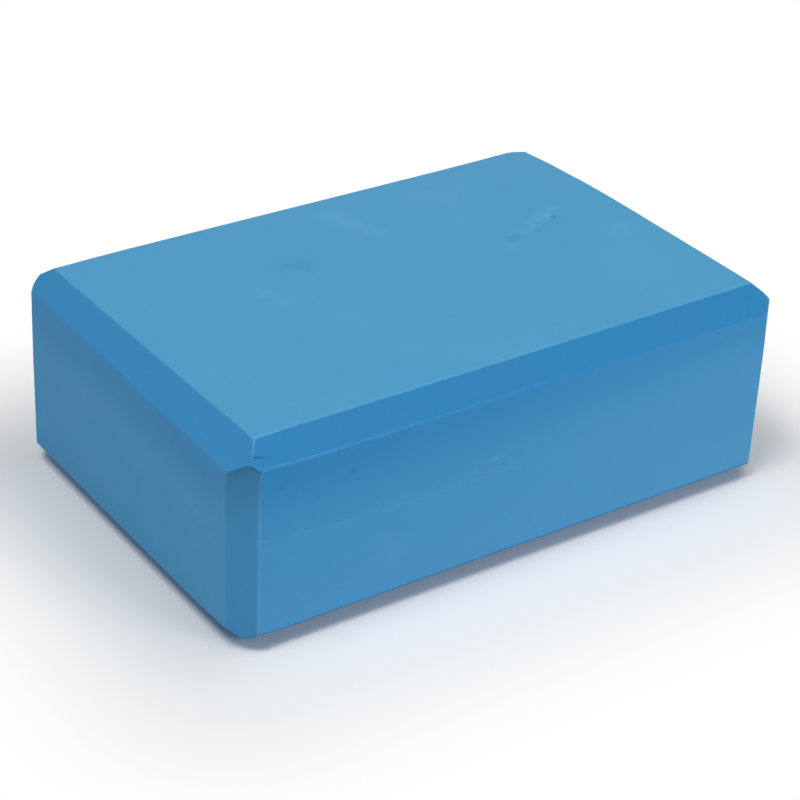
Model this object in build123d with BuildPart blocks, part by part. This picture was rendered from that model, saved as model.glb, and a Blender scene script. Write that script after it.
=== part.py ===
from build123d import *
import os

# Foam yoga block, lying on its largest face.
# Millimetres, +Z up, length along X, width along Y, origin at the middle of the underside.

# Overall size
length = 229.0
width = 152.0
height = 78.5

# Bevel round the top and the underside: how far the flat face stands in from the sides,
# and how far the bevel runs down the sides
rim_inset = 9.0
rim_drop = 7.8

# Bevel on the four upright edges, the same along both sides
corner_bevel = 8.0

# Softening of every cut edge
edge_radius = 1.5

# Press mark in the top: a long shallow hollow, turned a little from the block's length
mark_length = 26.0
mark_width = 7.0
mark_depth = 0.6
mark_from_end = 50.5
mark_from_back = 67.0
mark_turn = 14.6

# Round pit at each end of the press mark
pit_width = 3.6
pit_depth = 0.9
pit_spacing = 24.0

# Nick in the front bevel, beside the corner: a thin V-shaped slit along the bevel
nick_length = 5.0
nick_opening = 0.7
nick_depth = 1.2
nick_from_end = 4.8
nick_below_top = 4.2


def bevelled_rectangle(across, up, inset, drop):
    """Rectangle with its corners cut off, by inset across and by drop upwards."""
    with BuildSketch() as outline:
        with BuildLine():
            Polyline(
                (0, up / 2),
                (across / 2 - inset, up / 2),
                (across / 2, up / 2 - drop),
                (across / 2, 0),
            )
            mirror(about=Plane.YZ)
            mirror(about=Plane.XZ)
        make_face()
    return outline.sketch


def hollow_radius(opening, depth):
    """Radius of the ball or roll that presses a hollow of this opening and depth."""
    return (opening**2 / 4 + depth**2) / (2 * depth)


# The plan, the front view and the end view each pass through the block's middle.
# The block is what the three outlines have in common, so at every corner
# the three bevels meet in one point.
middle = (0, 0, height / 2)
front_view = Plane.XZ.shift_origin(middle)
end_view = Plane.YZ.shift_origin(middle)

# The press mark's own plane stands on the top face: X along the mark, Y up
mark_middle = (length / 2 - mark_from_end, width / 2 - mark_from_back, height)
mark_along = Vector(1, 0, 0).rotate(Axis.Z, mark_turn)
mark_plane = Plane(origin=mark_middle, x_dir=mark_along, z_dir=mark_along.cross(Vector(0, 0, 1)))
mark_axis_height = hollow_radius(mark_width, mark_depth) - mark_depth
pit_radius = hollow_radius(pit_width, pit_depth)

# The nick's own plane lies across the front bevel, with Y along the bevel's outward normal
bevel_out = Vector(0, -rim_drop, rim_inset).normalized()
nick_inset = rim_inset * (1 - nick_below_top / rim_drop)
nick_start = (nick_from_end - length / 2, nick_inset - width / 2, height - nick_below_top)
nick_plane = Plane(origin=nick_start, x_dir=bevel_out.cross(Vector(1, 0, 0)), z_dir=(1, 0, 0))

with BuildPart() as block:
    with BuildSketch(Plane.XY):
        add(bevelled_rectangle(length, width, corner_bevel, corner_bevel))
    extrude(amount=height)
    with BuildSketch(front_view):
        add(bevelled_rectangle(length, height, rim_inset, rim_drop))
    extrude(amount=width / 2, both=True, mode=Mode.INTERSECT)
    with BuildSketch(end_view):
        add(bevelled_rectangle(width, height, rim_inset, rim_drop))
    extrude(amount=length / 2, both=True, mode=Mode.INTERSECT)
    fillet(block.edges(), radius=edge_radius)

    # Press mark: an arc turned about an axis above the top face
    with BuildSketch(mark_plane) as mark_profile:
        with BuildLine():
            ThreePointArc((-mark_length / 2, 0), (0, -mark_depth), (mark_length / 2, 0))
            Polyline(
                (mark_length / 2, 0),
                (mark_length / 2, mark_axis_height),
                (-mark_length / 2, mark_axis_height),
                (-mark_length / 2, 0),
            )
        make_face()
    mark_axis = Axis(mark_plane.from_local_coords((0, mark_axis_height, 0)), mark_along)
    revolve(axis=mark_axis, mode=Mode.SUBTRACT)

    # Pits: one ball at each end of the mark
    with Locations(mark_plane):
        with GridLocations(pit_spacing, 0, 2, 1):
            with Locations((0, pit_radius - pit_depth)):
                Sphere(pit_radius, mode=Mode.SUBTRACT)

    # Nick: a thin triangle drawn along the bevel
    with BuildSketch(nick_plane):
        Polygon(
            (-nick_opening / 2, 0),
            (0, -nick_depth),
            (nick_opening / 2, 0),
            align=None,
        )
    extrude(amount=nick_length, mode=Mode.SUBTRACT)

block.part.label = "block"

os.makedirs("parts", exist_ok=True)
export_step(block.part, "parts/block.step")
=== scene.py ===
import itertools
import math

import bmesh
import bpy
import numpy
from mathutils import Matrix, Vector, noise


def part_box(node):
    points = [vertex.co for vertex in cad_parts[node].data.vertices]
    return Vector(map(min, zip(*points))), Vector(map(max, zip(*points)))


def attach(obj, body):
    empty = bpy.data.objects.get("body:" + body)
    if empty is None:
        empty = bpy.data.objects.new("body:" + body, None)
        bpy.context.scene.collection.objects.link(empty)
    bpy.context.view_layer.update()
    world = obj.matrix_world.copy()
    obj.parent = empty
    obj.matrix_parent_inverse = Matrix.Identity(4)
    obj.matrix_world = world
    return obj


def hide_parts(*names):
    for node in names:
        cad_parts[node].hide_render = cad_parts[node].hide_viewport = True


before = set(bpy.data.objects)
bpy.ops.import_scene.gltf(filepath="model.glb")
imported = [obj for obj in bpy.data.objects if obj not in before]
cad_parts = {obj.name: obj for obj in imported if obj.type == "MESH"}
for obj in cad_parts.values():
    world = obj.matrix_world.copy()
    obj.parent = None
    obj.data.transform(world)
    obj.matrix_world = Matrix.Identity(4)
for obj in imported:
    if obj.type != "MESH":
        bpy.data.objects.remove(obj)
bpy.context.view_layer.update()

# Foam yoga block on a pale floor. Metres, +Z up, length along X, width along Y.
# The block's front is its -Y side, and its left end is its -X end.

MM = 0.001

# Overall size, from the frame
block_low, block_high = (Vector(corner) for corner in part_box("block"))
LENGTH, WIDTH, HEIGHT = block_high - block_low
HALF_LENGTH = LENGTH / 2
HALF_WIDTH = WIDTH / 2
BLOCK_MIDDLE = (block_low + block_high) / 2

# Bevels: inset of the flat top and underside, drop down the sides, and cut on the upright edges
RIM_INSET = 9.0 * MM
RIM_DROP = 7.8 * MM
CORNER_BEVEL = 8.0 * MM

# Directions on the block: its own three, its front, out from and down the front bevel,
# and out from the upright bevel at the front left
ALONG = Vector((1, 0, 0))
ACROSS = Vector((0, 1, 0))
UP = Vector((0, 0, 1))
FORWARD = -ACROSS
BEVEL_OUT = Vector((0, -RIM_DROP, RIM_INSET)).normalized()
BEVEL_DOWN = -ALONG.cross(BEVEL_OUT)
FRONT_LEFT = Vector((-1, -1, 0)).normalized()

# Cut edges, where the foam turns by about this angle, are softened to this radius in a few steps
BEVEL_TURN = math.radians(45)
EDGE_RADIUS = 1.5 * MM
EDGE_STEPS = 4
ROUND_PROFILE = 0.5

# Mesh lines over the whole block: how far apart they are, how far to each side of an edge its own
# lines run, and how near a line passes to a point that it joins. Faces that meet at less than
# the flat angle are one face.
GRID_STEP = 1.8 * MM
EDGE_MARGIN = 1.5 * MM
MERGE_DISTANCE = 0.02 * MM
FLAT_ANGLE = math.radians(1)

# A finely cut patch takes in the faces whose normals agree with its own to this share
PATCH_FACING_SHARE = 0.9

# Press mark in the top: place along X and Y, length and width in millimetres, turn in degrees,
# and the finely cut patch round it
MARK_PLACE = (64.0, 9.0)
MARK_TURN = 14.6
MARK_LENGTH = 26.0
MARK_WIDTH = 8.0
MARK_PATCH_REACHES = (16.12 * MM, 6.4 * MM)
MARK_GRID_STEP = 0.7 * MM

# Hollows of the mark: the long shallow one, a pit at its right end and a wider hollow at its left. Each
# has its middle along X and Y, turn in degrees, length, width, depth and tone; the dark tone of the pit
# and the wider hollow is painted shade.
MARK_HOLLOWS = (
    (*MARK_PLACE, MARK_TURN, MARK_LENGTH, MARK_WIDTH, 0.3, 0.0),
    (76.1, 12.5, 54.0, 5.2, 2.8, 0.8, -0.5),
    (51.6, 5.4, -22.0, 11.0, 6.5, 0.35, -0.26),
)

# Nick in the front bevel, beside the front left corner of the top, and the finely cut patch round it. Its
# dark tone is painted shade.
NICK_MIDDLE = Vector((-105.2, -72.4, 73.9)) * MM
NICK_WAY = Vector((4.5, -1.0, -0.9)).normalized()
NICK_LENGTH = 6.6 * MM
NICK_OPENING = 0.7 * MM
NICK_DEPTH = 0.6 * MM
NICK_PAINTED_SHADE = -0.45
NICK_PATCH_MIDDLE = Vector((-106.2, -71.3, 74.7)) * MM
NICK_PATCH_REACHES = (4.5 * MM, 1.8 * MM)
NICK_GRID_STEP = 0.25 * MM

# Fine crease across the front: level for most of its length, and rising at its left end
CREASE_HEIGHT = 40.3 * MM
CREASE_RISE = 5.8 * MM
CREASE_RISE_REACH = 30.0 * MM
CREASE_WIDTH = 0.9 * MM
CREASE_DEPTH = 0.12 * MM
CREASE_TONE = 0.14
CREASE_GRID_STEP = 0.3 * MM

# Stretches of the crease: middle along X and half length, in millimetres, and strength
CREASE_STRETCHES = (
    (-92.0, 34.0, 1.0),
    (-30.0, 60.0, 0.5),
    (-13.0, 16.0, 0.8),
)

# Small pits in the front face: place along X and up, in millimetres, and tone, light or dark
FRONT_PITS = (
    (-12.9, 46.4, 0.45),
    (-10.1, 43.5, -0.15),
    (-71.4, 60.3, -0.22),
    (-36.3, 45.2, 0.2),
    (-103.1, 26.1, -0.18),
    (-84.7, 54.7, -0.2),
    (-98.1, 62.1, -0.15),
)
FRONT_PIT_REACH = 1.0 * MM
FRONT_PIT_DEPTH = 0.10 * MM
PIT_GRID_STEP = 0.45 * MM

# Rubbed and darker patches on the top, and painted highlight along the press mark's lit slope: place along
# X and Y and reach, in millimetres, and tone, light or dark
TOP_PATCHES = (
    (-49.9, 13.0, 2.6, 0.25),
    (-49.5, 7.0, 2.6, 0.20),
    (-50.5, 1.0, 2.2, 0.12),
    (2.5, 53.0, 6.0, 0.13),
    (5.1, 44.3, 6.0, 0.16),
    (10.5, 33.6, 5.0, 0.12),
    (-27.6, 25.6, 5.0, -0.14),
    (-35.5, 26.5, 5.0, -0.10),
    (91.6, -7.9, 6.0, 0.15),
    # Painted highlight along the lit slope of the press mark
    (58.5, 7.9, 2.8, 0.16),
    (64.5, 10.6, 2.8, 0.24),
    (69.5, 12.9, 2.6, 0.32),
    (73.6, 15.2, 2.4, 0.45),
    (78.5, 18.0, 2.8, 0.20),
    (45.4, 0.1, 3.6, 0.14),
)

# Scuffs on the left end, along Y and up, and a smear on the front, along X and up.
# The patches' outlines are ragged.
LEFT_PATCHES = (
    (-45.6, 46.2, 3.0, 0.07),
    (-51.0, 42.5, 2.5, 0.07),
    (-56.5, 45.5, 2.5, 0.06),
    (-59.5, 40.0, 3.0, 0.07),
)
FRONT_PATCHES = (
    (-54.5, 22.9, 4.5, 0.08),
    (-57.5, 29.0, 3.5, 0.06),
)
PATCH_RAGGEDNESS = 0.5
PATCH_RAGGED_LENGTH = 5.0 * MM

# The faces of cut foam are never quite flat
WAVE_HEIGHT = 0.08 * MM
WAVE_LENGTH = 70.0 * MM
RIPPLE_HEIGHT = 0.02 * MM
RIPPLE_LENGTH = 11.0 * MM

# Where the bevels were cut a little over and the corners are worn: lines along the edges,
# each of places and how far the foam is shifted there, in millimetres
EDGE_DRIFTS = (
    # The top's front edge, and its left edge
    (
        ((-105.5, -67.0, 78.5), (1.3, -1.0, 0.0)),
        ((-92.0, -67.0, 78.5), (0.0, -0.4, 0.0)),
        ((-20.0, -67.0, 78.5), (0.0, 0.0, 0.0)),
        ((40.0, -67.0, 78.5), (0.0, 0.6, 0.0)),
        ((105.5, -67.0, 78.5), (0.2, 1.4, 0.0)),
    ),
    (
        ((-105.5, -67.0, 78.5), (1.3, -1.0, 0.0)),
        ((-105.5, -42.0, 78.5), (0.8, 0.0, 0.0)),
        ((-105.5, 30.0, 78.5), (0.0, 0.0, 0.0)),
    ),
    # The rest of the front left corner, and the lower edge of the left bevel
    (((-110.5, -72.0, 74.2), (1.5, -1.5, -0.9)),),
    (((-106.5, -76.0, 70.7), (0.4, 0.0, 0.3)),),
    (
        ((-114.5, -68.0, 70.7), (0.0, 0.0, -1.8)),
        ((-114.5, -45.0, 70.7), (0.0, 0.0, -0.8)),
        ((-114.5, -5.0, 70.7), (0.0, 0.0, -0.6)),
        ((-114.5, 30.0, 70.7), (0.0, 0.0, 0.0)),
    ),
    # The front left corner at the bottom
    (((-114.5, -68.0, 7.8), (0.0, 0.4, 1.0)),),
    (((-110.5, -72.0, 4.3), (0.3, 0.4, 0.6)),),
    # The front's lower edge
    (
        ((-106.5, -76.0, 7.8), (0.0, 0.0, 0.0)),
        ((-97.0, -76.0, 7.8), (0.0, 0.0, -0.6)),
        ((106.5, -76.0, 7.8), (0.0, 0.0, -0.9)),
    ),
    # The back left corner
    (
        ((-105.5, 67.0, 78.5), (0.0, -0.3, -0.2)),
        ((-105.5, 56.0, 78.5), (-0.3, 0.0, 0.0)),
    ),
    (((-110.5, 72.0, 74.2), (0.1, -0.2, -0.1)),),
    (((-106.5, 76.0, 70.7), (0.1, -0.5, -0.4)),),
    (
        ((-114.5, 68.0, 70.7), (0.2, -0.2, -0.1)),
        ((-114.5, 68.0, 45.0), (0.0, 0.0, 0.0)),
    ),
    # The front right corner, and the lower edge of the right bevel
    (((110.5, -72.0, 74.2), (-0.4, 0.2, -0.1)),),
    (
        ((106.5, -76.0, 70.7), (-0.9, 0.0, 0.0)),
        ((106.5, -76.0, 60.0), (-0.3, 0.0, 0.0)),
    ),
    (
        ((114.5, -68.0, 70.7), (-0.6, 0.0, -0.2)),
        ((114.5, -68.0, 60.0), (-0.3, 0.0, 0.0)),
        ((114.5, -68.0, 36.0), (0.0, 0.0, 0.0)),
    ),
    (
        ((114.5, -56.0, 70.7), (0.0, 0.0, 0.2)),
        ((114.5, -40.0, 70.7), (0.0, 0.0, 0.4)),
        ((114.5, 18.0, 70.7), (0.0, 0.0, 0.4)),
        ((114.5, 40.0, 70.7), (0.0, 0.0, 0.0)),
    ),
    # The top's right edge, towards the back
    (
        ((105.5, 18.0, 78.5), (0.0, 0.0, 0.0)),
        ((105.5, 30.0, 78.5), (-0.4, 0.0, 0.0)),
        ((105.5, 41.0, 78.5), (-1.2, 0.0, 0.0)),
        ((105.5, 50.0, 78.5), (-1.9, 0.0, 0.0)),
        ((105.5, 67.0, 78.5), (-2.9, -1.0, -0.5)),
        ((97.0, 67.0, 78.5), (-0.1, 0.2, 0.0)),
    ),
    (((110.5, 72.0, 74.2), (-2.0, -1.2, -0.5)),),
)
DRIFT_STEP = 9.0
DRIFT_REACH = 6.0 * MM

# Top corners worn round: which side each is on along X and Y, and its radius in millimetres
ROUND_CORNERS = ((-1, 1, 15.9), (1, -1, 15.6))
ROUND_CORNER_INSET = 14.0 * MM

# The upright bevel at the front left is cut a little deeper under the bevels above it, and darkened with
# painted shade: a little all over, and most at its top under those bevels
UNDERCUT_RANGE = (40.0 * MM, 76.0 * MM)
UNDERCUT_DEPTH = 0.6 * MM
UNDERCUT_PAINTED_SHADE = 0.26
NEAR_BEVEL_PAINTED_SHADE = 0.09

# Tone of the foam, painted light and shade by face and height: the top paler towards its back right
# corner; the sides paler, more so low down, and darker high up; the front darker towards its top and paler
# to the right; the rim and upright bevels paler; and the front bevel deeper, less so near its left end.
# The front is also a step darker above its crease, at its left end.
TOP_PAINTED_LIGHT_RISE = 0.05
SIDE_PAINTED_LIGHT = 0.36
SIDE_LOW_PAINTED_LIGHT = 0.05
SIDE_LOW_RANGE = (10.0 * MM, 35.0 * MM)
SIDE_UPPER_PAINTED_SHADE = 0.17
SIDE_SHADE_RANGE = (48.0 * MM, 66.0 * MM)
FRONT_PAINTED_LIGHT_RISE = 0.05
FRONT_SHADE = 0.10
FRONT_SHADE_RANGE = (40.0 * MM, 46.0 * MM)
FRONT_UPPER_PAINTED_SHADE = 0.19
FRONT_UPPER_SHADE_RANGE = (44.0 * MM, 70.0 * MM)
RIM_BEVEL_PAINTED_LIGHT = 0.19
FRONT_BEVEL_PAINTED_SHADE = -0.15
FRONT_BEVEL_CORNER_PAINTED_LIGHT = 0.06
FRONT_BEVEL_CORNER_REACH = 12.0 * MM
UPRIGHT_BEVEL_PAINTED_LIGHT = 0.30

# The front rim's edges are pale, rubbed and with painted highlight: the top edge most, and the lower one
# less and less to the right. Near the corners they are less pale, and one short edge there, which lies in
# shade, is left without it. The upright edges are a little pale, and the rest hardly.
RUBBED_AND_HIGHLIT_EDGE_START = 60.0 * MM
RUBBED_AND_HIGHLIT_EDGE_FADE = 7.0 * MM
TOP_EDGE_SHARE = 0.60
LOW_EDGE_SHARES = (0.40, 0.05)
UPRIGHT_EDGE_SHARE = 0.20
PLAIN_EDGE_SHARE = 0.05
RIDGE_RELIEF = 0.45
SHADED_EDGE_MIDDLE = Vector((-112.5, -70.0, 71.8)) * MM
SHADED_EDGE_REACH = 3.0 * MM

# What a normal says: skin where it points this much up or down, a flat face where it is this close
# to one direction, a side or upright bevel where it points less than this up or down,
# and the front bevel where it points at least this much forward
SKIN_SHARE = 0.96
FLAT_SHARE = 0.9999
LEVEL_SHARE = 0.1
BEVEL_SHARE = 0.2

# Foam colours: the plain foam; the pale chalky colour, which also carries painted light and highlight; the
# deep colour, which also carries painted shade; and the near-black of painted shade
PAINTED_SHADE_FOAM = (0.003, 0.016, 0.032, 1.0)
# The skin's foam is paler than the cut foam's: partly its own finish, and partly painted light and sheen,
# as the top is lit most
SKIN_TONE = {
    "Foam": (0.066, 0.325, 0.565, 1.0),
    "Chalk And Painted Light": (0.150, 0.440, 0.680, 1.0),
    "Deep": (0.020, 0.150, 0.330, 1.0),
    "Painted Shade": PAINTED_SHADE_FOAM,
    "Cloud Scale": 22.0,
    "Cloud Strength": 0.10,
    "Speckle Strength": 0.08,
    "Edge Strength": 0.18,
}
CUT_TONE = {
    "Foam": (0.015, 0.218, 0.500, 1.0),
    "Chalk And Painted Light": (0.126, 0.420, 0.668, 1.0),
    "Deep": (0.034, 0.085, 0.110, 1.0),
    "Painted Shade": PAINTED_SHADE_FOAM,
    "Cloud Scale": 16.0,
    "Cloud Strength": 0.09,
    "Speckle Strength": 0.06,
    "Edge Strength": 0.90,
}

# Noises of the foam's colour: soft clouds, fine speckles, and patchy paleness along the edges, rubbed and
# with painted highlight. Each varies about a middle.
CLOUD_NOISE = {"Detail": 3.0, "Roughness": 0.55}
SPECKLE_NOISE = {"Scale": 420.0, "Detail": 2.0, "Roughness": 0.6}
RUBBING_AND_HIGHLIGHT_NOISE = {"Scale": 180.0, "Detail": 3.0, "Roughness": 0.6}
NOISE_MIDDLE = 0.5

# Foam grain: its depth and noises, size of the closed cells, and how matt the foam is
GRAIN_DEPTH = 0.04 * MM
GRAIN_NOISE = {"Detail": 4.0}
GRAIN_SCALE_SHARE = 0.6
SMEAR_NOISE = {"Scale": 30.0, "Detail": 3.0}
FOAM_SHEEN_LEVEL = 0.25
SKIN_GRAIN = {"Cell Scale": 1500.0, "Roughness": 0.58, "Roughness Spread": 0.20}
CUT_GRAIN = {"Cell Scale": 1200.0, "Roughness": 0.64, "Roughness Spread": 0.16}

# Floor and light: the floor turns white between these distances from the block
WHITE = (1.0, 1.0, 1.0, 1.0)
FLOOR_COLOUR = (0.88, 0.88, 0.88, 1.0)
FLOOR_COLOUR_PALER = (0.91, 0.91, 0.91, 1.0)
FLOOR_NOISE = {"Scale": 6.0, "Detail": 3.0}
FLOOR_RADIUS = 4.0
FLOOR_SIDES = 96
FLOOR_WHITE_START = 0.005
FLOOR_WHITE_END = 0.09
WORLD_LIGHT = 0.20

# Softboxes: name, place, size and power in watts
SOFTBOXES = (
    ("overhead_softbox", (0.45, -0.22, 1.35), 0.9, 4.3),
    ("front_softbox", (0.45, -1.30, 0.60), 0.7, 6.7),
    ("left_softbox", (-0.60, -0.21, 1.35), 0.55, 10.0),
)

# Camera: turned left of straight in front, looking down, with the photograph's small tilt
CAMERA_TURN = math.radians(-35.68)
CAMERA_RISE = math.radians(30.45)
CAMERA_TILT = math.radians(2.88)
CAMERA_DISTANCE = 875.6 * MM
CAMERA_AIM = Vector((7.0, 9.5, 20.0)) * MM
IMAGE_WIDTH_PIXELS = 800
FOCAL_LENGTH_PIXELS = 2345


# Mesh of the block

def corner_points():
    """The four points at each of the eight corners, where flat faces and bevels meet."""
    middle = Vector((0, 0, HEIGHT / 2))
    half = Vector((HALF_LENGTH, HALF_WIDTH, HEIGHT / 2))
    meeting_drop = RIM_DROP * (1 - CORNER_BEVEL / (2 * RIM_INSET))
    insets = (
        (RIM_INSET, RIM_INSET, 0),
        (CORNER_BEVEL / 2, CORNER_BEVEL / 2, meeting_drop),
        (0, CORNER_BEVEL, RIM_DROP),
        (CORNER_BEVEL, 0, RIM_DROP),
    )
    corners = itertools.product((-1, 1), repeat=3)
    return [middle + Vector(corner) * (half - Vector(inset)) for corner in corners for inset in insets]


def eased(value, start, end):
    """0 before the start and 1 past the end, with a smooth rise between."""
    share = min(1.0, max(0.0, (value - start) / (end - start)))
    return share * share * (3 - 2 * share)


def bevelled_block():
    """The block as flat faces and bevels, with its cut edges softened."""
    mesh = bmesh.new()
    for point in corner_points():
        mesh.verts.new(point)
    bmesh.ops.convex_hull(mesh, input=mesh.verts[:])
    bmesh.ops.dissolve_limit(mesh, angle_limit=FLAT_ANGLE, verts=mesh.verts[:], edges=mesh.edges[:])
    mesh.normal_update()
    flat_normals = [face.normal.copy() for face in mesh.faces]
    bmesh.ops.bevel(
        mesh,
        geom=mesh.verts[:] + mesh.edges[:],
        offset=EDGE_RADIUS * math.tan(BEVEL_TURN / 2),
        offset_type="OFFSET",
        segments=EDGE_STEPS,
        profile=ROUND_PROFILE,
        affect="EDGES",
    )
    mesh.normal_update()
    # Softened edges take rubbed paleness and painted highlight: 1 here, scaled by place later
    wears_and_highlights = mesh.verts.layers.float.new("edge_wear_and_highlight")
    for vert in mesh.verts:
        normals = [face.normal for face in vert.link_faces]
        beside_flat = any(normal.dot(flat) > FLAT_SHARE for normal in normals for flat in flat_normals)
        vert[wears_and_highlights] = 0.0 if beside_flat else 1.0
    return mesh


def slice_faces(mesh, faces, middle, reach, step, normal):
    """Cut faces along parallel planes, an even step apart, from reach below middle to reach above it."""
    edges = {edge for face in faces for edge in face.edges}
    verts = {vert for face in faces for vert in face.verts}
    pieces = list(verts) + list(edges) + list(faces)
    count = max(1, round(2 * reach / step))
    for index in range(1, count):
        offset = reach * (2 * index / count - 1)
        cut = bmesh.ops.bisect_plane(
            mesh,
            geom=pieces,
            dist=MERGE_DISTANCE,
            plane_co=middle + normal * offset,
            plane_no=normal,
        )
        pieces = cut["geom"]
    return [piece for piece in pieces if isinstance(piece, bmesh.types.BMFace)]


def refine_patch(mesh, middle, first, second, reaches, step, normal):
    """Cut the faces of one small patch into a finer grid along two directions."""
    across = (first.normalized(), second.normalized())
    margin = GRID_STEP

    def inside(face):
        offset = face.calc_center_median() - middle
        if face.normal.dot(normal) < PATCH_FACING_SHARE or abs(offset.dot(normal)) > margin:
            return False
        return all(abs(offset.dot(way)) < reach + margin for way, reach in zip(across, reaches))

    faces = [face for face in mesh.faces if inside(face)]
    for way, reach in zip(across, reaches):
        faces = slice_faces(mesh, faces, middle, reach, step, way)


def turned(direction, angle):
    """A level direction turned about the vertical."""
    return Matrix.Rotation(angle, 3, "Z") @ direction


def slice_beside_edges(mesh):
    """Cut the whole block a small margin to each side of its softened edges."""
    for way, half, insets in (
        (ALONG, HALF_LENGTH, (RIM_INSET, CORNER_BEVEL, 0)),
        (ACROSS, HALF_WIDTH, (RIM_INSET, CORNER_BEVEL, 0)),
        (UP, HEIGHT / 2, (RIM_DROP, 0)),
    ):
        for inset in insets:
            for side in (-1, 1):
                for margin in (-EDGE_MARGIN, EDGE_MARGIN):
                    plane = BLOCK_MIDDLE + way * side * (half - inset + margin)
                    bmesh.ops.bisect_plane(
                        mesh,
                        geom=mesh.verts[:] + mesh.edges[:] + mesh.faces[:],
                        dist=MERGE_DISTANCE,
                        plane_co=plane,
                        plane_no=way,
                    )


def slice_crease(mesh):
    """Cut the front finely along the crease."""
    low = CREASE_HEIGHT - CREASE_WIDTH
    high = CREASE_HEIGHT + CREASE_RISE + CREASE_WIDTH
    faces = [
        face for face in mesh.faces
        if -face.normal.y > FLAT_SHARE and low - GRID_STEP < face.calc_center_median().z < high + GRID_STEP
    ]
    middle = UP * (low + high) / 2
    slice_faces(mesh, faces, middle, (high - low) / 2, CREASE_GRID_STEP, UP)


def sliced_block():
    """The softened block with a fine grid over it, finer still where the surface has marks."""
    mesh = bevelled_block()
    slice_beside_edges(mesh)
    faces = mesh.faces[:]
    for way, reach in ((ALONG, HALF_LENGTH), (ACROSS, HALF_WIDTH), (UP, HEIGHT / 2)):
        faces = slice_faces(mesh, faces, BLOCK_MIDDLE, reach, GRID_STEP, way)
    mesh.normal_update()
    slice_crease(mesh)
    mark_middle = Vector((*MARK_PLACE, 0)) * MM + UP * HEIGHT
    mark_along = turned(ALONG, math.radians(MARK_TURN))
    mark_across = turned(ACROSS, math.radians(MARK_TURN))
    refine_patch(mesh, mark_middle, mark_along, mark_across, MARK_PATCH_REACHES, MARK_GRID_STEP, UP)
    refine_patch(mesh, NICK_PATCH_MIDDLE, ALONG, BEVEL_DOWN, NICK_PATCH_REACHES, NICK_GRID_STEP, BEVEL_OUT)
    for along, up, _ in FRONT_PITS:
        pit_middle = Vector((along * MM, -HALF_WIDTH, up * MM))
        refine_patch(mesh, pit_middle, ALONG, UP, (FRONT_PIT_REACH,) * 2, PIT_GRID_STEP, FORWARD)
    return mesh


# Shaping of the surface

def hollow(ratio):
    """A smooth hollow: 1 in the middle, 0 from a ratio of 1 outwards."""
    return (1 - ratio * ratio) ** 2 if ratio < 1 else 0.0


def press_mark(point):
    """Depth and tone of the press mark's hollows at a point of the top; the dark tone in the pit and the
    wider hollow is painted shade.
    """
    depth = 0.0
    tone = 0.0
    for along, across, turn, length, width, hollow_depth, hollow_painted_shade in MARK_HOLLOWS:
        offset = Vector((point.x - along * MM, point.y - across * MM, 0))
        offset = turned(offset, -math.radians(turn))
        share = hollow(math.hypot(2 * offset.x / length, 2 * offset.y / width) / MM)
        depth += hollow_depth * MM * share
        tone += hollow_painted_shade * share
    return depth, tone


def patches_tone(patches, point, along, across):
    """Tone of the rubbed and darker patches at a point, whose place on its face is along and across."""
    tone = 0.0
    for middle_along, middle_across, reach, patch_tone in patches:
        distance = math.hypot(along - middle_along * MM, across - middle_across * MM)
        ragged = 1 + PATCH_RAGGEDNESS * noise.noise(point / PATCH_RAGGED_LENGTH)
        tone += patch_tone * math.exp(-(distance * ragged / (reach * MM)) ** 2)
    return tone


def crease_height(along):
    """Height of the crease over the front: level, and rising at its left end."""
    return CREASE_HEIGHT + CREASE_RISE * math.exp(-(along + HALF_LENGTH) / CREASE_RISE_REACH)


def crease_share(point):
    """How deep a point of the front lies in the crease, from 0 to 1. It comes and goes."""
    strength = max(
        share * hollow(abs(point.x - middle * MM) / (half_length * MM))
        for middle, half_length, share in CREASE_STRETCHES
    )
    ratio = abs(point.z - crease_height(point.x)) / (CREASE_WIDTH / 2)
    return strength * hollow(ratio)


def front_pits(point):
    """Depth share and tone of the small pits at a point of the front."""
    share = 0.0
    tone = 0.0
    for along, up, pit_tone in FRONT_PITS:
        pit = hollow(math.hypot(point.x - along * MM, point.z - up * MM) / FRONT_PIT_REACH)
        share += pit
        tone += pit_tone * pit
    return share, tone


def nick_share(point):
    """How deep a point of the front bevel lies in the nick, from 0 to 1."""
    offset = point - NICK_MIDDLE
    lengthwise = abs(offset.dot(NICK_WAY)) / (NICK_LENGTH / 2)
    opening = abs(offset.dot(BEVEL_OUT.cross(NICK_WAY))) / (NICK_OPENING / 2)
    if lengthwise >= 1 or opening >= 1 or abs(offset.dot(BEVEL_OUT)) > NICK_DEPTH:
        return 0.0
    return (1 - opening) * (1 - lengthwise ** 2)


def drift_spots():
    """Places an even step apart along the drifted edges, and the shift at each, in millimetres."""
    spots = {}
    for edge in EDGE_DRIFTS:
        spots.update(edge)
        for (start, start_shift), (end, end_shift) in zip(edge, edge[1:]):
            start, end = Vector(start), Vector(end)
            count = max(1, round((end - start).length / DRIFT_STEP))
            for index in range(1, count):
                shift = Vector(start_shift).lerp(Vector(end_shift), index / count)
                spots[tuple(start.lerp(end, index / count))] = tuple(shift)
    return spots


def edge_drifts(points):
    """How far the over-cut bevels and worn corners shift each point, smoothly in between."""
    spots = drift_spots()
    places = numpy.array(list(spots)) * MM
    shifts = numpy.array(list(spots.values())) * MM

    def nearness(others, place):
        distances = numpy.linalg.norm(others - place, axis=1) / DRIFT_REACH
        return (1 + distances) * numpy.exp(-distances)

    weights = numpy.linalg.solve([nearness(places, place) for place in places], shifts)
    return sum(numpy.outer(nearness(points, place), weight) for place, weight in zip(places, weights))


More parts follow.
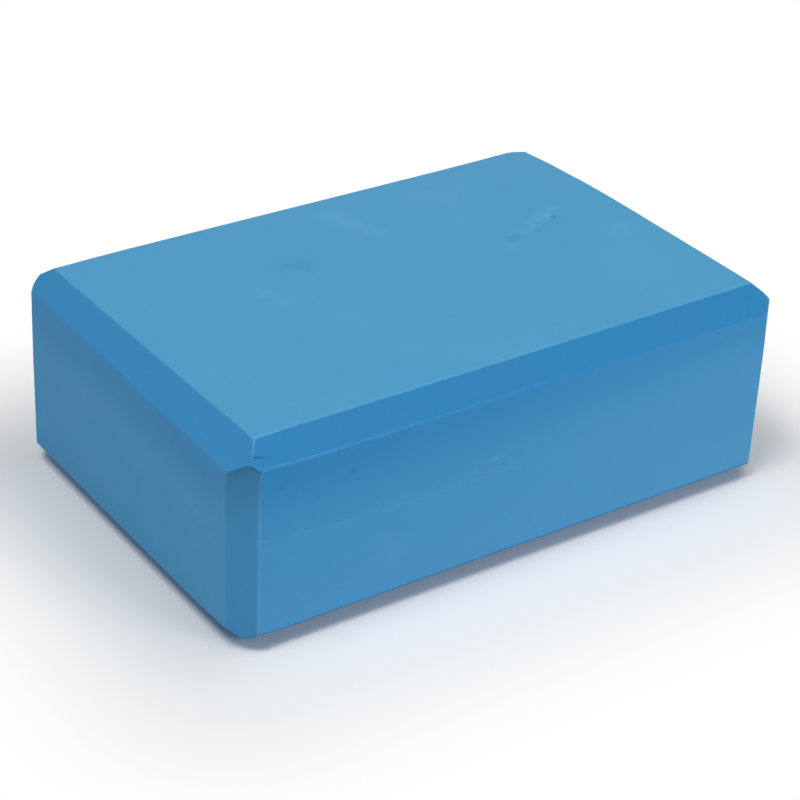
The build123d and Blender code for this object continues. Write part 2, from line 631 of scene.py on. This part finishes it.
def worn_round(place):
    """Pull a point of a worn top corner back to the corner's rounding."""
    for side_x, side_y, radius in ROUND_CORNERS:
        out = Vector((side_x, side_y, 1))
        middle = BLOCK_MIDDLE + Vector((HALF_LENGTH, HALF_WIDTH, HEIGHT / 2)) * out
        middle -= ROUND_CORNER_INSET * out
        offset = place - middle
        if min(offset * out) > 0 and offset.length > radius * MM:
            return middle + offset.normalized() * radius * MM
    return place


def near_bevel_share(normal):
    """How fully a normal is that of the upright bevel at the front left, from 0 to 1."""
    if abs(normal.z) > LEVEL_SHARE or normal.x > 0 or normal.y > 0:
        return 0.0
    return 2 * normal.x * normal.y


def near_bevel_painted_shade(point, normal):
    """How much painted shade darkens the foam at a point of the upright bevel at the front left: most at
    its top.
    """
    return near_bevel_share(normal) * (NEAR_BEVEL_PAINTED_SHADE + UNDERCUT_PAINTED_SHADE * eased(point.z, *UNDERCUT_RANGE))


def side_painted_light(point, normal):
    """How much painted light and shade the foam takes at a point of a side or an upright bevel."""
    if -normal.y > FLAT_SHARE:
        rightness = point.x / HALF_LENGTH
        shade = FRONT_SHADE * (1 - rightness) / 2 * eased(point.z, *FRONT_SHADE_RANGE)
        shade += FRONT_UPPER_PAINTED_SHADE * eased(point.z, *FRONT_UPPER_SHADE_RANGE)
        shade -= FRONT_PAINTED_LIGHT_RISE * rightness
    else:
        shade = SIDE_UPPER_PAINTED_SHADE * eased(point.z, *SIDE_SHADE_RANGE)
    shade -= SIDE_LOW_PAINTED_LIGHT * (1 - eased(point.z, *SIDE_LOW_RANGE))
    bevelness = 2 * abs(normal.x * normal.y)
    return (SIDE_PAINTED_LIGHT - shade) * (1 - bevelness) + UPRIGHT_BEVEL_PAINTED_LIGHT * bevelness


def face_painted_light(point, normal):
    """The painted light and shade in the foam's colour at a point of a side or a bevel."""
    if abs(normal.z) < LEVEL_SHARE:
        return side_painted_light(point, normal)
    if -normal.y < BEVEL_SHARE:
        return RIM_BEVEL_PAINTED_LIGHT
    cornerness = math.exp(-(point.x + HALF_LENGTH) / FRONT_BEVEL_CORNER_REACH)
    # Painted shade on the front bevel, less of it near the left end
    return FRONT_BEVEL_PAINTED_SHADE + FRONT_BEVEL_CORNER_PAINTED_LIGHT * cornerness


def shape_point(point, normal, drift):
    """The place of one point in the block's worn shape, and its tone."""
    waves = WAVE_HEIGHT * noise.noise(point / WAVE_LENGTH)
    waves += RIPPLE_HEIGHT * noise.noise(point / RIPPLE_LENGTH)
    place = worn_round(point + drift)
    if -normal.z < FLAT_SHARE:
        place += normal * (waves - WAVE_HEIGHT - RIPPLE_HEIGHT)
    if normal.z > FLAT_SHARE:
        depth, tone = press_mark(point)
        # Painted light: the top paler towards its back right corner
        tone += TOP_PAINTED_LIGHT_RISE * (point.x / HALF_LENGTH + point.y / HALF_WIDTH) / 2
        return place - UP * depth, tone + patches_tone(TOP_PATCHES, point, point.x, point.y)
    if abs(normal.z) > SKIN_SHARE:
        return place, 0.0
    tone = face_painted_light(point, normal)
    if -normal.y > FLAT_SHARE:
        pit_share, pit_tone = front_pits(point)
        crease = crease_share(point)
        place -= FORWARD * (FRONT_PIT_DEPTH * pit_share + CREASE_DEPTH * crease)
        tone += pit_tone + CREASE_TONE * crease + patches_tone(FRONT_PATCHES, point, point.x, point.z)
    elif -normal.x > FLAT_SHARE:
        tone += patches_tone(LEFT_PATCHES, point, point.y, point.z)
    place -= FRONT_LEFT * UNDERCUT_DEPTH * near_bevel_share(normal) * eased(point.z, *UNDERCUT_RANGE)
    nick = nick_share(place)
    # Painted shade darkens the nick
    return place - BEVEL_OUT * NICK_DEPTH * nick, tone + NICK_PAINTED_SHADE * nick


def rubbed_and_highlit_edge(point):
    """How pale the edges are at a point, rubbed and with painted highlight: most along the front rim, and
    hardly elsewhere.
    """
    left_share, right_share = LOW_EDGE_SHARES
    low = left_share + (right_share - left_share) * (point.x + HALF_LENGTH) / LENGTH
    front_reach = -point.y - (HEIGHT - point.z) * RIM_INSET / RIM_DROP
    front = eased(front_reach, RUBBED_AND_HIGHLIT_EDGE_START, RUBBED_AND_HIGHLIT_EDGE_START + RUBBED_AND_HIGHLIT_EDGE_FADE)
    rim = low + (TOP_EDGE_SHARE - low) * eased(point.z, HEIGHT - RIM_DROP, HEIGHT)
    shaded = math.exp(-((point - SHADED_EDGE_MIDDLE).length / SHADED_EDGE_REACH) ** 2)
    inset = max(HALF_LENGTH - abs(point.x), HALF_WIDTH - abs(point.y))
    rim *= 1 - RIDGE_RELIEF * eased(RIM_INSET - inset, 0, RIM_INSET / 2)
    plain = UPRIGHT_EDGE_SHARE if inset < RIM_INSET else PLAIN_EDGE_SHARE
    return max(plain, front * rim) * (1 - shaded)


def shape_surface(mesh):
    """Give every point its place in the block's worn shape, its tone, its painted shade, and its edge wear
    with painted highlight.
    """
    layers = mesh.verts.layers.float
    for name in ("tone", "shade"):
        layers.new(name)
    tones, shades, wears_and_highlights = layers["tone"], layers["shade"], layers["edge_wear_and_highlight"]
    mesh.normal_update()
    drifts = edge_drifts(numpy.array([vert.co for vert in mesh.verts]))
    shaped = []
    for vert, drift in zip(mesh.verts, drifts):
        place, vert[tones] = shape_point(vert.co, vert.normal, Vector(drift))
        # Painted shade at the top of the front left upright bevel
        vert[shades] = near_bevel_painted_shade(vert.co, vert.normal)
        vert[wears_and_highlights] *= rubbed_and_highlit_edge(vert.co)
        shaped.append(place)
    for vert, place in zip(mesh.verts, shaped):
        vert.co = [min(high, max(low, value)) for low, value, high in zip(block_low, place, block_high)]


def make_block(skin, cut_foam):
    """The foam block as one smooth piece: skin above and below, cut foam round the sides."""
    mesh = sliced_block()
    for face in mesh.faces:
        face.smooth = True
        face.material_index = 0 if abs(face.normal.z) > SKIN_SHARE else 1
    shape_surface(mesh)
    data = bpy.data.meshes.new("foam_block")
    mesh.to_mesh(data)
    mesh.free()
    data.materials.append(skin)
    data.materials.append(cut_foam)
    block = bpy.data.objects.new("foam_block", data)
    bpy.context.scene.collection.objects.link(block)
    even_shading = block.modifiers.new("even_shading", "WEIGHTED_NORMAL")
    even_shading.keep_sharp = False
    return block


# Finishes

def add_node(tree, kind, links=None, values=None, **settings):
    """Add a shader node with its settings, its plain values and the sockets that feed it."""
    node = tree.nodes.new("ShaderNode" + kind)
    for name, setting in settings.items():
        setattr(node, name, setting)
    for name, value in (values or {}).items():
        node.inputs[name].default_value = value
    for name, source in (links or {}).items():
        tree.links.new(source, node.inputs[name])
    return node


def math_result(tree, operation, *terms, clamp=False):
    """The result of a Math node whose terms are sockets or plain numbers."""
    node = tree.nodes.new("ShaderNodeMath")
    node.operation = operation
    node.use_clamp = clamp
    for socket, term in zip(node.inputs, terms):
        if isinstance(term, bpy.types.NodeSocket):
            tree.links.new(term, socket)
        else:
            socket.default_value = term
    return node.outputs[0]


def mixed_colour(tree, factor, first, second):
    """The colour between two others, by a factor from 0 to 1."""
    node = tree.nodes.new("ShaderNodeMix")
    node.data_type = "RGBA"
    sockets = {socket.identifier: socket for socket in node.inputs}
    tree.links.new(factor, sockets["Factor_Float"])
    tree.links.new(first, sockets["A_Color"])
    tree.links.new(second, sockets["B_Color"])
    return next(socket for socket in node.outputs if socket.identifier == "Result_Color")


def new_group(name, inputs, outputs):
    """An empty shader node group with named inputs and outputs, and its two end nodes."""
    group = bpy.data.node_groups.new(name, "ShaderNodeTree")
    for label, kind in inputs.items():
        group.interface.new_socket(label, in_out="INPUT", socket_type="NodeSocket" + kind)
    for label, kind in outputs.items():
        group.interface.new_socket(label, in_out="OUTPUT", socket_type="NodeSocket" + kind)
    return group, group.nodes.new("NodeGroupInput").outputs, group.nodes.new("NodeGroupOutput").inputs


def centred(tree, noise_node, strength):
    """A noise's pattern as a tone about zero, times a strength."""
    tone = math_result(tree, "SUBTRACT", noise_node.outputs["Fac"], NOISE_MIDDLE)
    return math_result(tree, "MULTIPLY", tone, strength)


def make_tone_group():
    """Foam colour with soft clouds, tone and painted shade from the mesh, and pale rubbed edges with
    painted highlight.
    """
    group, given, result = new_group(
        "foam_tone",
        {
            "Foam": "Color",
            "Chalk And Painted Light": "Color",
            "Deep": "Color",
            "Painted Shade": "Color",
            "Cloud Scale": "Float",
            "Cloud Strength": "Float",
            "Speckle Strength": "Float",
            "Edge Strength": "Float",
        },
        {"Color": "Color"},
    )
    place = add_node(group, "TexCoord").outputs["Object"]
    clouds = add_node(group, "TexNoise", {"Vector": place, "Scale": given["Cloud Scale"]}, CLOUD_NOISE)
    speckles = add_node(group, "TexNoise", {"Vector": place}, SPECKLE_NOISE)
    rubbing_and_highlight = add_node(group, "TexNoise", {"Vector": place}, RUBBING_AND_HIGHLIGHT_NOISE)
    marks = add_node(group, "Attribute", attribute_name="tone").outputs["Fac"]
    shade = add_node(group, "Attribute", attribute_name="shade").outputs["Fac"]
    edges = add_node(group, "Attribute", attribute_name="edge_wear_and_highlight").outputs["Fac"]
    patchy = math_result(group, "ADD", rubbing_and_highlight.outputs["Fac"], NOISE_MIDDLE)
    # Pale edges: rubbed wear and painted highlight, patchy along their length
    worn_and_highlit = math_result(group, "MULTIPLY", edges, given["Edge Strength"])
    worn_and_highlit = math_result(group, "MULTIPLY", worn_and_highlit, patchy)
    tone = math_result(group, "ADD", centred(group, clouds, given["Cloud Strength"]), worn_and_highlit)
    tone = math_result(group, "ADD", tone, centred(group, speckles, given["Speckle Strength"]))
    tone = math_result(group, "ADD", tone, marks)
    paler = math_result(group, "MULTIPLY", tone, 1.0, clamp=True)
    darker = math_result(group, "MULTIPLY", tone, -1.0, clamp=True)
    colour = mixed_colour(group, paler, given["Foam"], given["Chalk And Painted Light"])
    colour = mixed_colour(group, darker, colour, given["Deep"])
    # Mix in the near-black painted shade where the mesh's shade attribute asks for it
    group.links.new(mixed_colour(group, shade, colour, given["Painted Shade"]), result["Color"])
    return group


def make_grain_group():
    """Fine closed cells of the foam, as a height and as a roughness that varies with them."""
    group, given, result = new_group(
        "foam_grain",
        {"Cell Scale": "Float", "Roughness": "Float", "Roughness Spread": "Float"},
        {"Height": "Float", "Roughness": "Float"},
    )
    place = add_node(group, "TexCoord").outputs["Object"]
    cells = add_node(group, "TexVoronoi", {"Vector": place, "Scale": given["Cell Scale"]})
    grain_scale = math_result(group, "MULTIPLY", given["Cell Scale"], GRAIN_SCALE_SHARE)
    grain = add_node(group, "TexNoise", {"Vector": place, "Scale": grain_scale}, GRAIN_NOISE)
    smears = add_node(group, "TexNoise", {"Vector": place}, SMEAR_NOISE)
    height = math_result(group, "ADD", cells.outputs["Distance"], grain.outputs["Fac"])
    group.links.new(height, result["Height"])
    spread = centred(group, smears, given["Roughness Spread"])
    group.links.new(math_result(group, "ADD", given["Roughness"], spread), result["Roughness"])
    return group


def new_material(name):
    """An empty node material and its tree and output."""
    material = bpy.data.materials.new(name)
    material.use_nodes = True
    material.node_tree.nodes.clear()
    return material, material.node_tree, material.node_tree.nodes.new("ShaderNodeOutputMaterial")


def foam_material(name, tone_group, tone_values, grain_group, grain_values):
    """A matt foam: its own tones and grain in the shared groups."""
    material, tree, output = new_material(name)
    tone = add_node(tree, "Group", None, tone_values, node_tree=tone_group)
    grain = add_node(tree, "Group", None, grain_values, node_tree=grain_group)
    bump = add_node(tree, "Bump", {"Height": grain.outputs["Height"]}, {"Distance": GRAIN_DEPTH})
    surface = add_node(
        tree,
        "BsdfPrincipled",
        {
            "Base Color": tone.outputs["Color"],
            "Roughness": grain.outputs["Roughness"],
            "Normal": bump.outputs["Normal"],
        },
        {"Specular IOR Level": FOAM_SHEEN_LEVEL},
    )
    tree.links.new(surface.outputs["BSDF"], output.inputs["Surface"])
    return material


def seen_ray(tree):
    """1 for the rays that look at the scene: camera, glossy and transmission rays."""
    path = add_node(tree, "LightPath")
    seen = math_result(tree, "MAXIMUM", path.outputs["Is Camera Ray"], path.outputs["Is Glossy Ray"])
    return math_result(tree, "MAXIMUM", seen, path.outputs["Is Transmission Ray"])


def distance_beyond_block(tree, place):
    """How far a place on the floor is from the block's own rectangle."""
    half_size = (HALF_LENGTH, HALF_WIDTH, 0)
    reach = add_node(tree, "VectorMath", {0: place}, operation="ABSOLUTE")
    past = add_node(tree, "VectorMath", {0: reach.outputs["Vector"]}, {1: half_size}, operation="SUBTRACT")
    beyond = add_node(tree, "VectorMath", {0: past.outputs["Vector"]}, {1: (0, 0, 0)}, operation="MAXIMUM")
    length = add_node(tree, "VectorMath", {0: beyond.outputs["Vector"]}, operation="LENGTH")
    return length.outputs["Value"]


def floor_material():
    """A pale matt floor that reads as white away from the block."""
    material, tree, output = new_material("pale_floor")
    place = add_node(tree, "TexCoord").outputs["Object"]
    mottle = add_node(tree, "TexNoise", {"Vector": place}, FLOOR_NOISE)
    far = add_node(
        tree,
        "MapRange",
        {"Value": distance_beyond_block(tree, place)},
        {"From Min": FLOOR_WHITE_START, "From Max": FLOOR_WHITE_END},
        interpolation_type="SMOOTHSTEP",
    ).outputs["Result"]
    tint = add_node(tree, "ValToRGB", {"Fac": mottle.outputs["Fac"]})
    tint.color_ramp.elements[0].color = FLOOR_COLOUR
    tint.color_ramp.elements[1].color = FLOOR_COLOUR_PALER
    matt = add_node(tree, "BsdfDiffuse", {"Color": tint.outputs["Color"]})
    white = add_node(tree, "Emission", None, {"Color": WHITE, "Strength": 1.0})
    factor = math_result(tree, "MULTIPLY", far, seen_ray(tree))
    mix = add_node(tree, "MixShader", {0: factor, 1: matt.outputs["BSDF"], 2: white.outputs["Emission"]})
    tree.links.new(mix.outputs["Shader"], output.inputs["Surface"])
    return material


# Floor, light and camera

def make_floor():
    """A large level disc under the block."""
    mesh = bmesh.new()
    bmesh.ops.create_circle(mesh, cap_ends=True, segments=FLOOR_SIDES, radius=FLOOR_RADIUS)
    data = bpy.data.meshes.new("floor")
    mesh.to_mesh(data)
    mesh.free()
    data.materials.append(floor_material())
    floor = bpy.data.objects.new("floor", data)
    bpy.context.scene.collection.objects.link(floor)
    return floor


def make_world():
    """A white surrounding to look at, which lights the block softly and evenly."""
    world = bpy.data.worlds.new("studio")
    bpy.context.scene.world = world
    world.use_nodes = True
    tree = world.node_tree
    tree.nodes.clear()
    output = tree.nodes.new("ShaderNodeOutputWorld")
    seen = add_node(tree, "Background", None, {"Color": WHITE, "Strength": 1.0})
    lighting = add_node(tree, "Background", None, {"Color": WHITE, "Strength": WORLD_LIGHT})
    mix = add_node(
        tree,
        "MixShader",
        {0: seen_ray(tree), 1: lighting.outputs["Background"], 2: seen.outputs["Background"]},
    )
    tree.links.new(mix.outputs["Shader"], output.inputs["Surface"])


def make_softbox(name, place, aim, size, watts):
    """A square soft lamp at a place, turned to what it lights."""
    lamp = bpy.data.lights.new(name, "AREA")
    lamp.shape = "SQUARE"
    lamp.size = size
    lamp.energy = watts
    softbox = bpy.data.objects.new(name, lamp)
    softbox.location = place
    softbox.rotation_euler = (aim - place).to_track_quat("-Z", "Y").to_euler()
    bpy.context.scene.collection.objects.link(softbox)


def make_camera():
    """The camera at the photograph's viewpoint, with its small tilt."""
    level = Matrix.Rotation(CAMERA_TURN, 3, "Z") @ Matrix.Rotation(math.pi / 2 - CAMERA_RISE, 3, "X")
    turn = level @ Matrix.Rotation(CAMERA_TILT, 3, "Z")
    lens = bpy.data.cameras.new("camera")
    lens.lens = FOCAL_LENGTH_PIXELS / IMAGE_WIDTH_PIXELS * lens.sensor_width
    camera = bpy.data.objects.new("camera", lens)
    camera.matrix_world = Matrix.Translation(CAMERA_AIM + turn.col[2] * CAMERA_DISTANCE) @ turn.to_4x4()
    bpy.context.scene.collection.objects.link(camera)
    bpy.context.scene.camera = camera


tone_group = make_tone_group()
grain_group = make_grain_group()
skin = foam_material("foam_skin", tone_group, SKIN_TONE, grain_group, SKIN_GRAIN)
cut_foam = foam_material("cut_foam", tone_group, CUT_TONE, grain_group, CUT_GRAIN)

block = make_block(skin, cut_foam)
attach(block, "root")
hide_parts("block")

make_floor()
make_world()
for name, place, size, watts in SOFTBOXES:
    make_softbox(name, Vector(place), BLOCK_MIDDLE, size, watts)
make_camera()
bpy.context.scene.view_settings.view_transform = "Standard"
